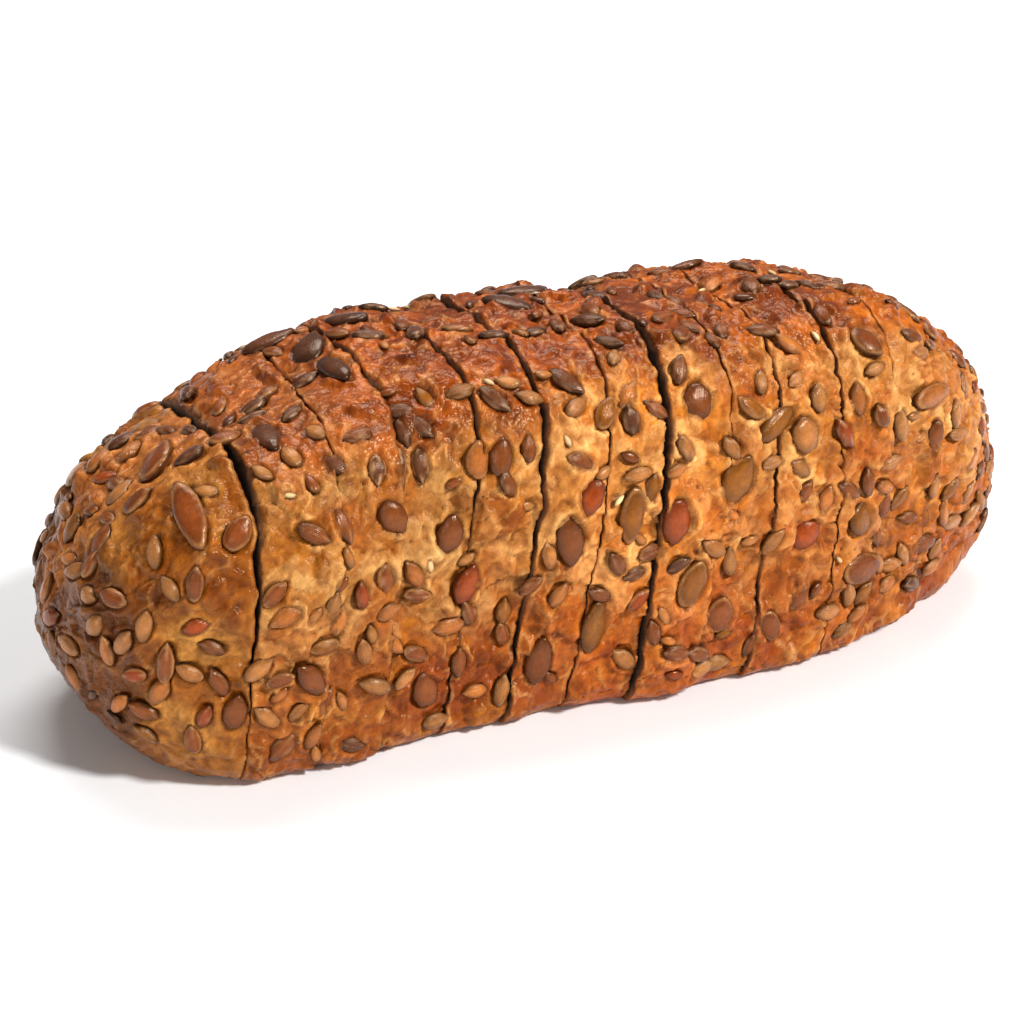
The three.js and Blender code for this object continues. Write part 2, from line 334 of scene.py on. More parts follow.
def even_draws(start, count):
    """The same even draws as the solids' seeds take."""
    state = start
    out = np.empty(count)
    for i in range(count):
        state = (state * 1664525 + 1013904223) % 4294967296
        out[i] = state / 4294967296
    return out


class Seeds:
    """The seeds placed so far, as growing columns."""

    def __init__(self):
        self.rows = []

    def add(self, kind, point, normal, along, turn, size, tone):
        across = unit(np.cross(normal, along))
        along = np.cross(across, normal)
        length_way = along * math.cos(turn) + across * math.sin(turn)
        self.rows.append((kind, point, normal, length_way, size, tone))

    def near(self, point, space):
        for kind, other, *_ in self.rows:
            reach = (KINDS[kind]["space"] + space) / 2
            if np.sum((other - point) ** 2) < reach * reach:
                return True
        return False


def add_plain(seeds, kind, rows):
    for x, angle, turn, length, width, tone in rows:
        point, normal, along, _ = place_on(np.float64(x), np.radians(angle))
        size = (length, width, KINDS[kind]["size"][2])
        seeds.add(kind, point, normal, along, math.radians(turn), size, tone)


def scatter(seeds, kind, count, low, high, draws, tone_of, grown_by=1.0, space=None):
    """Spreads seeds evenly by area, each clear of those already placed. Returns the draws it didn't use."""
    tries = draws[: 6 * (len(draws) // 6)].reshape(-1, 6)
    along_turn = (tries[:, 0] - 0.5) * 0.985 * np.pi
    x = HALF_LENGTH * np.sin(along_turn)
    angle = np.radians(low + (high - low) * tries[:, 1])
    turn = np.radians(90 + 150 * (tries[:, 3] + tries[:, 4] - 1))
    grown = (0.86 + 0.28 * tries[:, 5]) * grown_by
    point, normal, along, area = place_on(x, angle)
    kept = (tries[:, 2] * 1.6 <= area * np.cos(along_turn)) & (point[:, 2] >= LOWEST_SEED)
    space = space or KINDS[kind]["space"]
    placed = 0
    for i in range(len(tries)):
        if placed == count:
            return draws[6 * i :]
        if not kept[i] or seeds.near(point[i], space):
            continue
        size = tuple(s * grown[i] for s in KINDS[kind]["size"])
        tone = tone_of(point[i], angle[i], len(seeds.rows))
        seeds.add(kind, point[i], normal[i], along[i], turn[i], size, tone)
        placed += 1
    return draws[:0]


def baked_tone(point, angle, index):
    """Seeds on top are toasted darker than those at the sides and on the heels."""
    top = smooth(50, 80, 90 - abs(90 - math.degrees(angle))) * smooth(-104, -84, point[0])
    pick = hashed(index, 3, 5, 7)
    dark = 0.5 * top * (1 - 0.7 * smooth(15, 70, point[0]))
    if pick < 0.05 + dark:
        return "dark"
    if pick < 0.05 + 0.8 * top:
        return "brown"
    pick = hashed(index, 4, 6, 8)
    for tone, share in (("brown", 0.4), ("tan", 0.32), ("red", 0.07), ("olive", 0.08), ("gold", 0.13)):
        pick -= share
        if pick < 0:
            return tone
    return "brown"


def pale_tone(point, angle, index):
    return "pale"


def all_seeds():
    """The seeds that show, and those under the crust. Only the mounds of the second kind are made."""
    seeds = Seeds()
    add_plain(seeds, "pumpkin", PLAIN_PUMPKIN)
    add_plain(seeds, "sunflower", PLAIN_SUNFLOWER)
    draws = even_draws(SEED_DRAWS, 90000)
    for kind in ("pumpkin", "sunflower"):
        count, low, high = SCATTERED[kind]
        draws = scatter(seeds, kind, count, low, high, draws, baked_tone)
    for kind, count, grown_by, low, high in SMALL_SCATTERED:
        space = KINDS[kind]["space"] * grown_by * CROWDING
        tone_of = pale_tone if kind == "sesame" else baked_tone
        draws = scatter(seeds, kind, count, low, high, draws, tone_of, grown_by, space)
    covered = Seeds()
    covered.rows = list(seeds.rows)
    scatter(covered, "sunflower", COVERED_COUNT, -30, 210, draws, baked_tone, space=COVERED_SPACE)
    return seeds.rows, covered.rows[len(seeds.rows) :]


def columns(rows):
    """Seed rows as arrays: centre, normal, length way, width way, half sizes, taper, tone."""
    centre = np.array([r[1] for r in rows])
    normal = np.array([r[2] for r in rows])
    length_way = np.array([r[3] for r in rows])
    half = np.array([r[4] for r in rows]) / 2
    taper = np.array([KINDS[r[0]]["taper"] for r in rows])
    return centre, normal, length_way, np.cross(normal, length_way), half, taper, [r[5] for r in rows]


def outline_distance(points, centre, length_way, width_way, half, taper):
    """How far points are outside a seed's outline, in mm, and as a share of its own size."""
    d = points - centre
    along = d @ length_way
    across = d @ width_way
    narrowing = np.maximum(1 - taper * np.clip(along / half[0], 0, 1.3) ** 2, 0.2)
    share = np.sqrt((along / half[0]) ** 2 + (across / (half[1] * narrowing)) ** 2)
    return np.hypot(along, across) * (1 - 1 / np.maximum(share, 0.05)), share


def near_mask(points, centre, reach):
    """The numbers of the points in a box round a centre."""
    return np.flatnonzero(np.all(np.abs(points - centre) < reach, axis=1))


# The crust's relief and colour.


def seed_marks(points, seeds, covered):
    """
    What the seeds do to the crust: its rise round and over them, the painted shade where it meets them, the
    pale ridge round them, and the mounds over covered ones.
    """
    rise = np.zeros(len(points))
    contact_shade = np.zeros(len(points))
    rim = np.zeros(len(points))
    centre, _, length_way, width_way, half, taper, _ = columns(seeds)
    uneven = np.clip(0.5 + 1.3 * noise(points, 4.5, 5), 0.05, 1.4)
    for i in range(len(seeds)):
        at = near_mask(points, centre[i], half[i][0] + 3.5)
        if not len(at):
            continue
        far, _ = outline_distance(points[at], centre[i], length_way[i], width_way[i], half[i], taper[i])
        big = min(half[i][1] / 2.2, 1.3)
        ridge = np.where(far > 0.8 * big, np.exp(-(((far - 0.8 * big) / (1.1 * big)) ** 2)), 1) * uneven[at]
        edge = np.exp(-((far / 0.45) ** 2))
        rise[at] += 0.75 * big * ridge - 0.55 * edge - 0.7 * smooth(-0.1, -1.2, far)
        rim[at] = np.maximum(rim[at], np.exp(-(((far - 0.9 * big) / (0.6 * big)) ** 2)) * uneven[at])
        contact_shade[at] = np.maximum(contact_shade[at], np.exp(-((np.maximum(far, 0) / (0.3 * big + 0.1)) ** 2)))
    centre, _, length_way, width_way, half, taper, _ = columns(covered)
    mound = np.zeros(len(points))
    for i in range(len(covered)):
        at = near_mask(points, centre[i], half[i][0] + 2.5)
        if not len(at):
            continue
        far, share = outline_distance(points[at], centre[i], length_way[i], width_way[i], half[i], taper[i])
        height = 0.6 + 0.8 * hashed(i, 1, 2, 3)
        rise[at] += height * smooth(1.3, 0.3, share) - 0.3 * np.exp(-(((far - 0.5) / 0.4) ** 2))
        strength = 1 if hashed(i, 2, 2, 3) < 0.6 else 0.35
        mound[at] = np.maximum(mound[at], smooth(1.0, 0.5, share) * strength)
        contact_shade[at] = np.maximum(contact_shade[at], 0.45 * np.exp(-(((far - 0.4) / 0.35) ** 2)))
    return rise, contact_shade, rim, mound


def topness(points, angle):
    """0 at the loaf's sides to 1 on its glossy dark top, with an uneven border."""
    side = 90 - np.abs(90 - np.degrees(angle))
    border = 50 + 9 * smooth(-40, 10, points[:, 0]) + 9 * noise(points, 26, 31) + 6 * noise(points, 8, 32)
    return smooth(border - 6, border + 7, side) * smooth(-99, -86, points[:, 0])


def terraces(points, size, salt):
    """Flaky plates of crust: their heights from -0.5 to 0.5, and dark cracks along some of their edges."""
    shift = 0.34 * size * np.stack([noise(points, 0.9 * size, salt + i) for i in (1, 2, 3)], -1)
    shift = shift + 0.12 * size * np.stack([noise(points, 0.3 * size, salt + i) for i in (4, 5, 6)], -1)
    first, second, draw = cells(points + shift, size, salt)
    crack = np.exp(-(((second - first) * size / 0.45) ** 2))
    crack = crack * smooth(0.0, 0.35, noise(points, 1.3 * size, salt + 7))
    return (draw - 0.5) * smooth(0.0, 0.9 / size, second - first), crack, draw


def top_tone(x, points, blotch, speck, wrinkle):
    """Dark brown with pale streaks, lighter towards the right, darker in the wrinkles' hollows as painted
    shade, and with a painted sheen towards the far left.
    """
    tone = mix(TOP_DARK, TOP_LIGHT, smooth(-0.4, 0.5, blotch + 0.3 * wrinkle + 0.35 * speck - 0.18))
    tone = mix(tone, TOP_RIGHT, 0.6 * smooth(10, 90, x) * smooth(-0.4, 0.4, blotch))
    tone = mix(tone, TOP_PALE_AND_SHEEN, 0.6 * smooth(0.2, 0.5, clouds(points, 6, 3, 87)))
    # A painted sheen on the top towards the far left.
    return mix(tone, TOP_PALE_AND_SHEEN, 0.22 * smooth(-45, -70, x))


def side_tone(points, speck, rim, small_draw, big_draw):
    """Tan and gold with orange patches, pale round the seeds, and single plates that differ."""
    tone = mix(SIDE_TAN, SIDE_GOLD, smooth(-0.35, 0.45, noise(points, 13, 81) + 0.5 * speck))
    tone = mix(tone, SIDE_ORANGE, 0.6 * smooth(0.05, 0.4, clouds(points, 22, 3, 82)))
    tone = mix(tone, SIDE_PALE, 0.75 * smooth(0.1, 0.45, clouds(points, 10, 3, 83) + 0.25 * rim))
    tone = mix(tone, SIDE_PALE, 0.5 * smooth(0.6, 0.75, small_draw))
    return mix(tone, SIDE_ORANGE, 0.5 * smooth(0.7, 0.85, big_draw))


def low_tone(x, points, blotch, speck):
    """Orange and dark red near the floor, with patches of gold."""
    tone = mix(LOW_ORANGE, LOW_RED, smooth(-0.2, 0.4, blotch + 0.3 * speck) * smooth(-75, -45, x))
    return mix(tone, SIDE_GOLD, 0.6 * smooth(0.1, 0.5, noise(points, 9, 84)))


def heel_tone(points, side, tip, speck):
    """The left heel's olive brown, darker at its tip and lighter above and below."""
    tone = mix(HEEL_OLIVE, HEEL_LIGHT, smooth(-0.2, 0.5, noise(points, 12, 85) + 0.4 * speck))
    tone = mix(tone, HEEL_TIP, tip * smooth(-0.6, 0.2, noise(points, 20, 86) + 0.3))
    tone = mix(tone, HEEL_TOP, smooth(50, 80, side))
    return mix(tone, HEEL_LIGHT, 0.5 * smooth(5, -25, side) * (1 - tip))


def crust_surface(x, angle, seeds, covered, edge, open_width):
    """
    Displaced points of the crust with their colour and gloss. edge is the distance from a knife cut, and
    open_width how wide that cut stands open.
    """
    shape = x.shape
    x, angle, edge, open_width = x.ravel(), angle.ravel(), edge.ravel(), open_width.ravel()
    points, normal, _, _ = place_on(x, angle)

    # Where on the loaf each point lies.
    top = topness(points, angle)
    side = 90 - np.abs(90 - np.degrees(angle))
    low = smooth(16, -10, side + 9 * noise(points, 18, 40))
    heel_lean = math.tan(math.radians(CUTS[0][1]))
    heel = smooth(-86, -90, x - heel_lean * (points[:, 2] - CUT_HEIGHT))
    tip = smooth(-106, -116, x + 8 * noise(points, 16, 41))

    # Wrinkles, flaky plates, pits and what the seeds do.
    warped = points + 2.0 * np.stack([noise(points, 6, s) for s in (50, 51, 52)], -1)
    lumps = 0.75 * noise(points, 19, 1) + 0.65 * noise(points, 8.5, 2) + 0.5 * noise(points, 4.6, 3)
    patchy = smooth(-0.35, 0.35, noise(points, 12, 62))
    wrinkle = (1 - 2.6 * np.abs(noise(warped, 3.8, 60))) * (0.45 + 0.75 * patchy)
    fine = 1 - 2.6 * np.abs(noise(warped, 1.7, 61))
    vein_and_highlight = smooth(0.1, 0.03, np.abs(noise(warped + 30, 4.6, 63))) * smooth(-0.1, 0.3, noise(points, 9, 64))
    big_plate, big_crack, big_draw = terraces(points, 11.0, 9)
    small_plate, small_crack, small_draw = terraces(points, 4.6, 19)
    pit_first, _, pit_draw = cells(points, 3.4, 77)
    pit = smooth(0.2, 0.08, pit_first) * (pit_draw > 0.76) * (1 - 0.6 * top)
    rise, contact_shade, rim, mound = seed_marks(points, seeds, covered)
    crack = np.maximum(big_crack, 0.8 * small_crack) * (1 - 0.5 * top)

    # Relief in mm, along the crust's normal.
    calm = 1 - 0.5 * heel
    open_share = smooth(0.25, 1.4, open_width)
    height = (
        lumps
        + calm * (0.22 + 0.03 * top) * wrinkle
        + calm * (0.05 + 0.07 * patchy) * fine
        + 0.35 * vein_and_highlight
        + (1 - 0.6 * top) * calm * (1.3 * big_plate + 1.1 * small_plate - 0.4 * crack)
        - 0.5 * pit
        + rise
        - (0.04 + 0.34 * open_share) * np.exp(-((edge / (0.25 + 0.2 * open_share)) ** 2))
    )
    height *= smooth(0.0, 3.0, points[:, 2])
    moved = points + normal * height[:, None]
    moved[:, 2] = np.maximum(moved[:, 2], 0)

    # Colour, from the large zones to single creases.
    blotch = clouds(points, 17, 3, 80)
    speck = clouds(points, 3.0, 2, 90)
    colour = side_tone(points, speck, rim, small_draw, big_draw)
    colour = mix(colour, low_tone(x, points, blotch, speck), 0.85 * low)
    colour = mix(colour, top_tone(x, points, blotch, speck, wrinkle), top)
    colour = mix(colour, colour * 1.2, smooth(-18, -8, x) * smooth(30, 20, x) * (1 - top))
    left = smooth(-5, -45, x) * (1 - top)
    colour = colour * (1 - left[:, None] * np.array([0.2, 0.18, 0.16]))
    colour = mix(colour, heel_tone(points, side, tip, speck), heel)
    colour = shaded(colour, 1 + 0.35 * rim * (1 - top))
    colour = shaded(colour, 1 - 0.38 * mound)
    # Painted shade in the cracks between the plates.
    colour = shaded(colour, 1 - 0.4 * crack)
    # Pale lines along the raised veins: a painted highlight on their ridges.
    colour = mix(colour, SIDE_PALE, (0.5 - 0.2 * heel - 0.2 * top) * vein_and_highlight)
    # A painted highlight: a pale line along the rim of each cut.
    cut_rim_highlight = np.exp(-(((edge - 0.7) / 0.3) ** 2)) * smooth(-0.2, 0.4, noise(points, 4, 65))
    colour = mix(colour, SIDE_PALE, 0.5 * cut_rim_highlight)
    # Painted shade from the relief: darker in the hollows of the wrinkles and fine creases and lighter on
    # their ridges, with the crust's own specks on top.
    colour = shaded(colour, np.clip(0.88 + 0.24 * wrinkle + 0.2 * fine + 0.2 * top * speck, 0.45, 1.35))
    scorched = smooth(0.2, 0.55, clouds(points, 5.5, 3, 97)) * (0.3 + 0.6 * top + 0.3 * low)
    colour = shaded(colour, 1 - 0.55 * scorched)
    # Painted light and shade from the relief: higher flakes on the sides made lighter, lower ones darker.
    colour = shaded(colour, 1 + 0.3 * (1 - top) * small_plate)
    # Painted shade in the pits.
    colour = mix(colour, PIT_SHADE, 0.8 * pit)
    # Painted shade where the crust meets the seeds, and in the grooves round covered ones.
    colour = mix(colour, CREASE_SHADE, 0.55 * contact_shade)
    # Painted shade along the open cuts, deeper where they stand wider.
    colour = mix(colour, CREASE_SHADE, 0.5 * open_share * np.exp(-((edge / 0.35) ** 2)))
    colour = shaded(colour, np.clip(1 + 0.3 * speck, 0.4, 1.5))
    gloss = np.clip(0.45 + 0.6 * top + 0.25 * low + 0.3 * heel + 0.35 * noise(points, 11, 95), 0, 1)
    return moved.reshape(shape + (3,)), np.clip(colour, 0, 1).reshape(shape + (3,)), gloss.reshape(shape)


def shaded(colour, factor):
    """A crust colour made lighter or darker, for its baked tones and for painted shade alike: the darker, the
    redder.
    """
    return colour * np.stack([factor**0.8, factor**1.1, factor**1.4], -1)


def mix(a, b, share):
    share = np.asarray(share)[..., None]
    return a + (b - a) * share


# The crust's mesh.


def ring_angles():
    """Angles round the crust at even steps of surface: fine where it shows, coarse under the base."""
    dense = np.radians(np.linspace(-90, 270, 14401))
    points = crust(0.0, dense)
    points[:, 2] = np.maximum(points[:, 2], 0)
    step = np.linalg.norm(np.diff(points, axis=0), axis=1)
    base = (dense[:-1] < np.radians(-35)) | (dense[:-1] > np.radians(215))
    travelled = np.concatenate([[0], np.cumsum(np.maximum(step, 1e-6) / np.where(base, COARSE, FINE))])
    count = int(travelled[-1])
    return np.interp(np.arange(count) * travelled[-1] / count, travelled, dense)


def cut_edge(index, side, angles):
    """x where a cut's face meets the crust at each angle. side is -1 for the face left of the gap."""
    cut = CUTS[index]
    x = np.full(len(angles), float(cut[0]))
    for _ in range(10):
        p = crust(np.clip(x, -HALF_LENGTH, HALF_LENGTH), angles)
        x = cut_plane(cut, p[:, 1], p[:, 2]) + side * cut_gap(cut, np.clip(p[:, 2], 0, 90)) / 2
    place = p + np.array([index * 40.0, 0, 0])
    gap = cut_gap(cut, np.clip(p[:, 2], 0, 90))
    ragged = 0.75 * noise(place, 9, 20) + 0.45 * noise(place, 3.5, 21)
    own = gap * (0.28 * noise(place, 5.0, 22 + side) + 0.2 * noise(place, 2.0, 25 + side)) + 0.01 * side
    own = own + side * 0.18 * np.minimum(gap, 1) * np.abs(noise(place, 2.4, 28 + side))
    return x + (ragged + own) * smooth(0, 8, p[:, 2]), gap


def tip_rows(side, count_from):
    """Shares of the way from an end point to a cut, at even steps of surface."""
    x = HALF_LENGTH * np.cos(np.linspace(0, np.pi / 2, 20001))
    width = HALF_WIDTH * fullness(side * x, "width")
    travelled = np.concatenate([[0], np.cumsum(np.hypot(np.diff(x), np.diff(width)))])
    inside = HALF_LENGTH - x
    total = np.interp(count_from, inside, travelled)
    rows = int(total / FINE)
    return np.interp(np.linspace(0, total, rows + 1), travelled, inside)[1:] / count_from


def piece_grid(index, angles):
    """x for every row and angle of one piece of the loaf, and its distances from the knife cuts."""
    last = len(CUTS)
    left, left_gap = cut_edge(index - 1, 1, angles) if index > 0 else (None, 0)
    right, right_gap = cut_edge(index, -1, angles) if index < last else (None, 0)
    if left is None:
        share = tip_rows(-1, HALF_LENGTH + np.mean(right))[:, None]
        x = -HALF_LENGTH + (right + HALF_LENGTH) * share
    elif right is None:
        share = 1 - tip_rows(1, HALF_LENGTH - np.mean(left))[::-1, None]
        x = left + (HALF_LENGTH - left) * share
    else:
        rows = int(np.max(right - left) / FINE) + 1
        x = left + (right - left) * np.linspace(0, 1, rows)[:, None]
    edge = np.full(x.shape, 99.0)
    open_width = np.zeros(x.shape)
    if left is not None:
        edge = x - left
        open_width = open_width + left_gap
    if right is not None:
        open_width = np.where(right - x < edge, right_gap, open_width)
        edge = np.minimum(edge, right - x)
    return x, edge, open_width


def build_mesh(name, points, quads, triangles, colours, extras, materials, second_from=None):
    """A mesh object from arrays in mm. Faces from second_from on take the second material."""
    mesh = bpy.data.meshes.new(name)
    mesh.vertices.add(len(points))
    mesh.vertices.foreach_set("co", (points * MM).astype(np.float32).ravel())
    loops = np.concatenate([quads.ravel(), triangles.ravel()]).astype(np.int32)
    sizes = np.concatenate([np.full(len(quads), 4), np.full(len(triangles), 3)])
    starts = np.concatenate([[0], np.cumsum(sizes)[:-1]]).astype(np.int32)
    mesh.loops.add(len(loops))
    mesh.loops.foreach_set("vertex_index", loops)
    mesh.polygons.add(len(sizes))
    mesh.polygons.foreach_set("loop_start", starts)
    mesh.polygons.foreach_set("use_smooth", np.ones(len(sizes), bool))
    for material in materials:
        mesh.materials.append(material)
    if second_from is not None:
        picks = np.zeros(len(sizes), np.int32)
        picks[second_from] = 1
        mesh.polygons.foreach_set("material_index", picks)
    mesh.update(calc_edges=True)
    attribute = mesh.color_attributes.new("tone", "FLOAT_COLOR", "POINT")
    rgba = np.concatenate([colours, np.ones((len(points), 1))], 1)
    attribute.data.foreach_set("color", rgba.astype(np.float32).ravel())
    for key, values in extras.items():
        extra = mesh.attributes.new(key, "FLOAT", "POINT")
        extra.data.foreach_set("value", values.astype(np.float32))
    if mesh.validate():
        print("mesh", name, "was repaired")
    thing = bpy.data.objects.new(name, mesh)
    bpy.context.scene.collection.objects.link(thing)
    return thing


def cap_rings(outline, cut, side, insets):
    """Rings inwards over a cut face from its outline, and the point in its middle."""
    middle = outline.mean(axis=0)
    rings = []
    for inset in insets:
        spoke = outline - middle
        reach = np.linalg.norm(spoke, axis=1, keepdims=True)
        ring = middle + spoke * np.maximum(1 - inset / reach, 0.05)
        flat = cut_plane(cut, ring[:, 1], ring[:, 2]) + side * cut_gap(cut, ring[:, 2]) / 2
        rough = 0.22 * noise(ring, 3.0, 130 + side) + 0.12 * noise(ring, 1.4, 132 + side)
        ring[:, 0] = flat + side * RECESS + rough * 0.5
        rings.append(ring)
    middle[0] = cut_plane(cut, middle[1], middle[2]) + side * (cut_gap(cut, middle[2]) / 2 + RECESS)
    return rings, middle


def build_piece(index, angles, seeds, covered, materials):
    """One heel or slice as a closed mesh: its crust, and a crumb face at each cut."""
    x, edge, open_width = piece_grid(index, angles)
    rows, around = x.shape
    every_angle = np.broadcast_to(angles, x.shape)
    points, colours, gloss = crust_surface(x, every_angle, seeds, covered, edge, open_width)
    grid = np.arange(rows * around).reshape(rows, around)
    nxt = np.roll(grid, -1, axis=1)
    quads = [np.stack([grid[:-1], grid[1:], nxt[1:], nxt[:-1]], -1).reshape(-1, 4)]
    triangles = []
    crust_faces = len(quads[0])
    point_list, colour_list, gloss_list = [points.reshape(-1, 3)], [colours.reshape(-1, 3)], [gloss.ravel()]
    count = rows * around
    inner_quads, inner_triangles, tips = [], [], []
    for end, side in ((0, 1), (rows - 1, -1)):
        ring = grid[end]
        after = np.roll(ring, -1)
        is_tip = (index == 0 and end == 0) or (index == len(CUTS) and end == rows - 1)
        if is_tip:
            tip = points[end].mean(axis=0)
            turn = [ring, after] if end == 0 else [after, ring]
            fan = np.stack([np.full(around, count), *turn], -1)
            tips.append(fan)
            point_list.append(tip[None])
            colour_list.append(colours[end].mean(axis=0)[None])
            gloss_list.append(gloss[end].mean()[None])
            count += 1
            continue
        cut = CUTS[index - 1] if end == 0 else CUTS[index]
        rings, middle = cap_rings(points[end], cut, side, CAP_INSETS)
        for inner, inset in zip(rings, CAP_INSETS):
            inside = np.arange(count, count + around)
            inside_after = np.roll(inside, -1)
            band = [inside, ring, after, inside_after] if end == 0 else [inside_after, after, ring, inside]
            inner_quads.append(np.stack(band, -1))
            point_list.append(inner)
            # Painted shade inside the cut: the crumb face is darkened, least in its outer ring next to the
            # crust.
            depth_shade = 0.12 + 0.5 * (inset < 1)
            colour_list.append(CRUMB * depth_shade * (1 + 0.4 * noise(inner, 2.4, 140))[:, None])
            gloss_list.append(np.zeros(around))
            ring, after = inside, inside_after
            count += around
        turn = [ring, after] if end == 0 else [after, ring]
        fan = np.stack([np.full(around, count), *turn], -1)
        inner_triangles.append(fan)
        point_list.append(middle[None])
        colour_list.append(CRUMB[None])
        gloss_list.append(np.zeros(1))
        count += 1
    quads = np.concatenate(quads + inner_quads)
    triangles = np.concatenate(tips + inner_triangles)
    crumb = np.concatenate(
        [
            np.arange(crust_faces, len(quads)),
            np.arange(len(quads) + sum(len(t) for t in tips), len(quads) + len(triangles)),
        ]
    )
    points = np.concatenate(point_list)
    points[:, 1] += NUDGES[index]
    points[:, 2] = np.maximum(points[:, 2], 0)
    piece = build_mesh(
        NODES[index] + "_baked",
        points,
        quads,
        triangles,
        np.concatenate(colour_list),
        {"gloss": np.concatenate(gloss_list)},
        materials,
        crumb,
    )
    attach(piece, "root")
    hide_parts(NODES[index])


# Seed shapes.


def seed_shape(kind):
    """One seed at half size 1 each way: its points, quads and end fans. It is pointed towards +x."""
    rows, around = SEED_GRID[kind]
    turn = np.linspace(0, 2 * np.pi, around, endpoint=False)
    lie = np.pi * (np.arange(1, rows) / rows)
    x = -np.cos(lie)[:, None] * np.ones(around)
    ring = np.sin(lie)[:, None] ** (0.9 if kind == "pumpkin" else 1.0)
    narrowing = 1 - KINDS[kind]["taper"] * np.maximum(x, 0) ** 2
    y = ring * np.cos(turn) * narrowing
    z = ring * np.sin(turn)
    if kind == "pumpkin":
        z = ring**0.85 * np.sign(np.sin(turn)) * np.abs(np.sin(turn)) ** 0.9
    if kind == "sunflower":
        z = z * (1 + 0.1 * np.cos(6 * turn))
    grid = np.stack([x, y, z], -1).reshape(-1, 3)
    points = np.concatenate([grid, [[-1, 0, 0], [1, 0, 0]]])
    index = np.arange((rows - 1) * around).reshape(rows - 1, around)
    nxt = np.roll(index, -1, axis=1)
    quads = np.stack([index[:-1], index[1:], nxt[1:], nxt[:-1]], -1).reshape(-1, 4)
    low, high = len(points) - 2, len(points) - 1
    fans = [
        np.stack([np.full(around, low), index[0], nxt[0]], -1),
        np.stack([np.full(around, high), nxt[-1], index[-1]], -1),
    ]
    return points, quads, np.concatenate(fans)


def seed_colour(kind, tone, local, worn, draw):
    """One seed's colours: its own tone, striped, some with a painted highlight along the rim, with painted
    shade towards its edge and underneath.
    """
    colour = linear(TONES[tone]) * (0.8 + 0.4 * draw[5])
    colour = colour * np.array([1 + 0.1 * (draw[6] - 0.5), 1, 1 + 0.16 * (draw[7] - 0.5)])
    colour = np.broadcast_to(colour, local.shape)
    if kind == "sunflower":
        stripe = smooth(0.2, 0.95, np.cos(8 * local[:, 1] + 1.2 * (draw[0] - 0.5)))
        share = 0.8 if tone == "striped" else 0.15 + 0.4 * draw[1]
        colour = mix(colour, STRIPE, share * stripe)
    colour = mix(colour, colour * 1.35, 0.6 * worn)
    # Painted shade: lighter in the seed's middle, darker towards its edge.
    middle = smooth(1.0, 0.3, np.hypot(local[:, 0], local[:, 1] * 0.9))
    colour = colour * (0.55 + 0.6 * middle)[:, None]
    # A painted highlight along the rim of some seeds.
    if draw[6] > 0.65 and tone != "dark":
        narrowed = 1.05 - KINDS[kind]["taper"] * np.maximum(local[:, 0], 0) ** 2
        reach = np.hypot(local[:, 0], local[:, 1] / narrowed)
        colour = mix(colour, RIM_HIGHLIGHT, 0.5 * np.exp(-(((reach - 0.9) / 0.07) ** 2)))
    # Painted shade on the seed's underside, where it sits in the crust.
    return mix(colour * 0.4, colour, smooth(-0.1, 0.45, local[:, 2]))


def build_seeds(kind, rows, material):
    """All seeds of one kind as one mesh, each with its own size, tilt, bend and tone."""
    rows = [r for r in rows if r[0] == kind]
    base, quads, fans = seed_shape(kind)
    centre, normal, length_way, width_way, half, _, tones = columns(rows)
    piece_of = slice_of(centre)
    all_points, all_colours, all_lengthwise = [], [], []
    for i in range(len(rows)):
        draw = [hashed(i, 7, k, len(rows)) for k in range(8)]
        local = base.copy()
        local[:, 2] += 0.25 * (draw[0] - 0.5) * local[:, 0] ** 2
        local[:, 1] += 0.22 * (draw[1] - 0.5) * local[:, 0] ** 2
        bumps = noise(base * half[i] + np.array([i * 13.0, 0, 0]), 2.6, 150)
        rough = noise(base * half[i] + np.array([0, 0, i * 13.0]), 1.1, 152)
        local *= (1 + 0.08 * bumps + 0.045 * rough)[:, None]
        tilt = Matrix.Rotation(math.radians(14 * (draw[2] - 0.5)), 3, "Y") @ Matrix.Rotation(
            math.radians(22 * (draw[3] - 0.5)), 3, "X"
        )
        placed = (local * half[i]) @ np.array(tilt).T
        lift = KINDS[kind]["lift"] + 0.25 + 0.45 * min(half[i][2], 1) * (draw[4] - 0.6)
        axes = np.stack([length_way[i], width_way[i], normal[i]])
        points = centre[i] + placed @ axes + normal[i] * lift
        points[:, 1] += NUDGES[piece_of[i]]
        worn = smooth(0.1, 0.7, noise(base * half[i] + np.array([0, i * 13.0, 0]), 3.2, 151))
        colour = seed_colour(kind, tones[i], local, worn, draw)
        all_points.append(points)
        all_colours.append(colour)
        all_lengthwise.append(local[:, 1])
    shift = (np.arange(len(rows)) * len(base))[:, None, None]
    thing = build_mesh(
        kind + "_seeds",
        np.concatenate(all_points),
        (quads[None] + shift).reshape(-1, 4),
        (fans[None] + shift).reshape(-1, 3),
        np.clip(np.concatenate(all_colours), 0, 1),
        {"across": np.concatenate(all_lengthwise)},
        [material],
    )
    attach(thing, "root")


# Materials.


